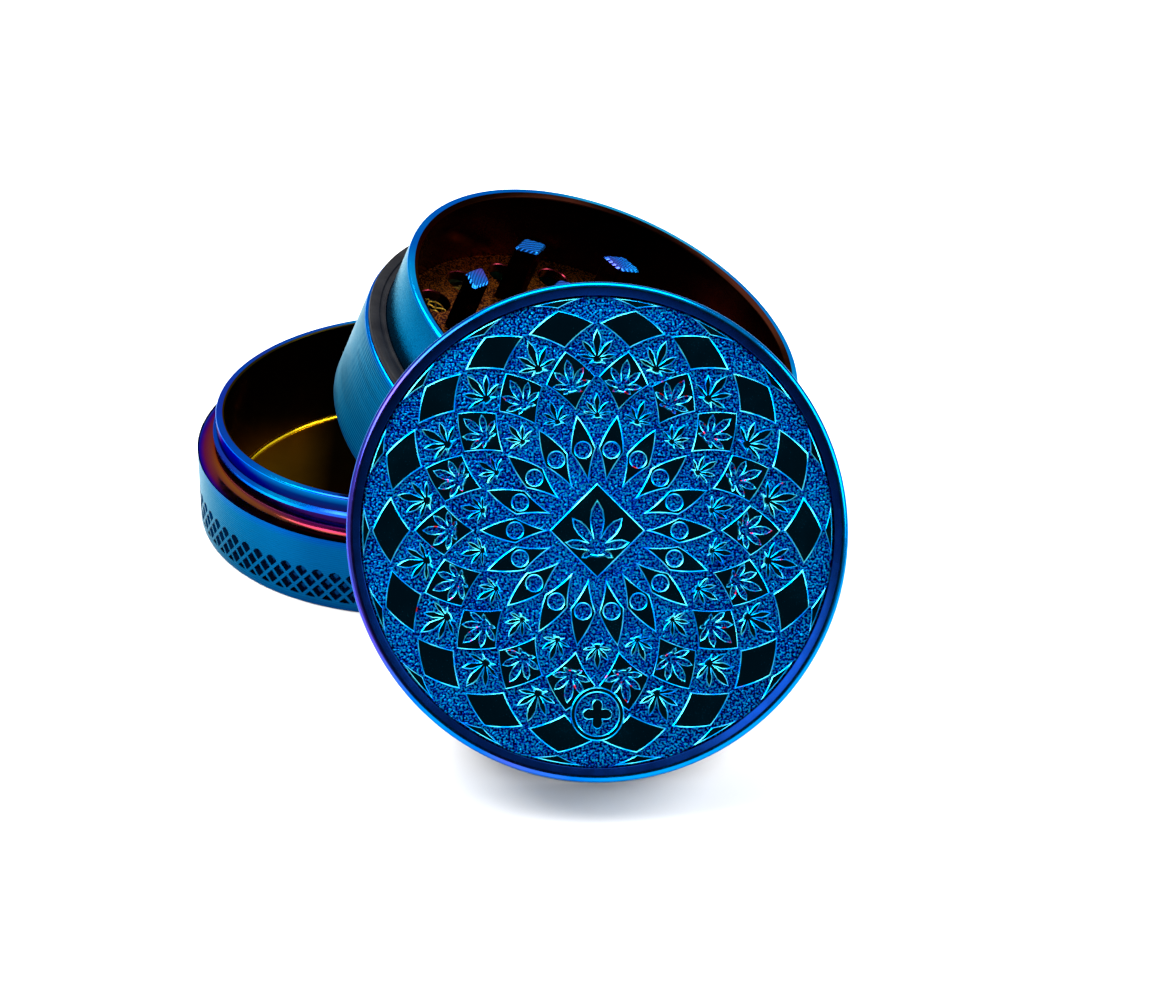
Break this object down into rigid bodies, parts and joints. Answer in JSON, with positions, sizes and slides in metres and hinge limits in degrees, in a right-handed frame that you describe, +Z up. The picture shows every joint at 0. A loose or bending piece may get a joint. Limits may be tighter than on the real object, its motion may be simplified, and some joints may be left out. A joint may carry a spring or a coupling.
{
  "type": "herb grinder",
  "caption": "Hand-held screw-together metal herb grinder taken apart: knurled cup, toothed chamber on a sieve ring, and a lid with a carved rosette top.",
  "frame": {"origin": "centre of the cup's underside, on the surface that everything stands on", "axes": "+Z up along the cup's axis; -Y towards the carved face of the lid, which stands on its edge in front; +X towards the side that the chamber leans to"},
  "size_m": [0.0887, 0.1142, 0.0589],
  "materials": {
    "cup_metal": "blue thin-film coating, satin turned outside, bronze-brown inside",
    "ring_metal": "blue thin-film coating with fine turning lines",
    "steel_rim": "plain stainless",
    "steel_mesh": "woven wire",
    "steel_clip": "sprung stainless",
    "black_polymer": "dark grey low-friction polymer",
    "chamber_metal": "blue thin-film coating outside, dark bronze inside",
    "magnet": "nickel plated",
    "chamber_teeth_metal": "dark coated sides, blue turned tops",
    "lid_metal": "blue thin-film coating, polished rim",
    "medallion_metal": "blue thin-film coating, carved relief on a grained ground",
    "lid_teeth_metal": "dark coated sides, blue turned tips"
  },
  "bodies": {
    "cup": {"cup_shell": "cup_metal"},
    "sieve": {"sieve_ring": "ring_metal", "mesh_rim": "steel_rim", "sieve_mesh": "steel_mesh", "mesh_clip": "steel_clip"},
    "slip": {"slip_ring": "black_polymer"},
    "chamber": {"chamber_shell": "chamber_metal", "chamber_magnet": "magnet", "chamber_teeth_outer": "chamber_teeth_metal", "chamber_teeth_inner": "chamber_teeth_metal"},
    "lid": {"lid_shell": "lid_metal", "lid_medallion": "medallion_metal", "lid_magnet": "magnet", "lid_teeth_outer": "lid_teeth_metal", "lid_teeth_inner": "lid_teeth_metal"}
  },
  "joints": [
    {"name": "sieve_turn", "type": "hinge", "parent": "cup", "child": "sieve", "pos_m": [0.0272, -0.0124, 0.0364], "axis": [0.3569, -0.1335, 0.9245], "continuous": true},
    {"name": "chamber_lift", "type": "slide", "parent": "sieve", "child": "slip", "axis": [0.3569, -0.1335, 0.9245], "range_m": [0, 0.003]},
    {"name": "chamber_turn", "type": "hinge", "parent": "slip", "child": "chamber", "pos_m": [0.0272, -0.0124, 0.0364], "axis": [0.3569, -0.1335, 0.9245], "range_deg": [0, 720]},
    {"name": "lid_turn", "type": "hinge", "parent": "cup", "child": "lid", "pos_m": [0.0257, -0.065, 0.0333], "axis": [0, -0.8211, 0.5707], "continuous": true}
  ],
  "couplings": [
    {"joint": "chamber_lift", "follows": "chamber_turn", "m_per_rad": 0.00023873}
  ]
}
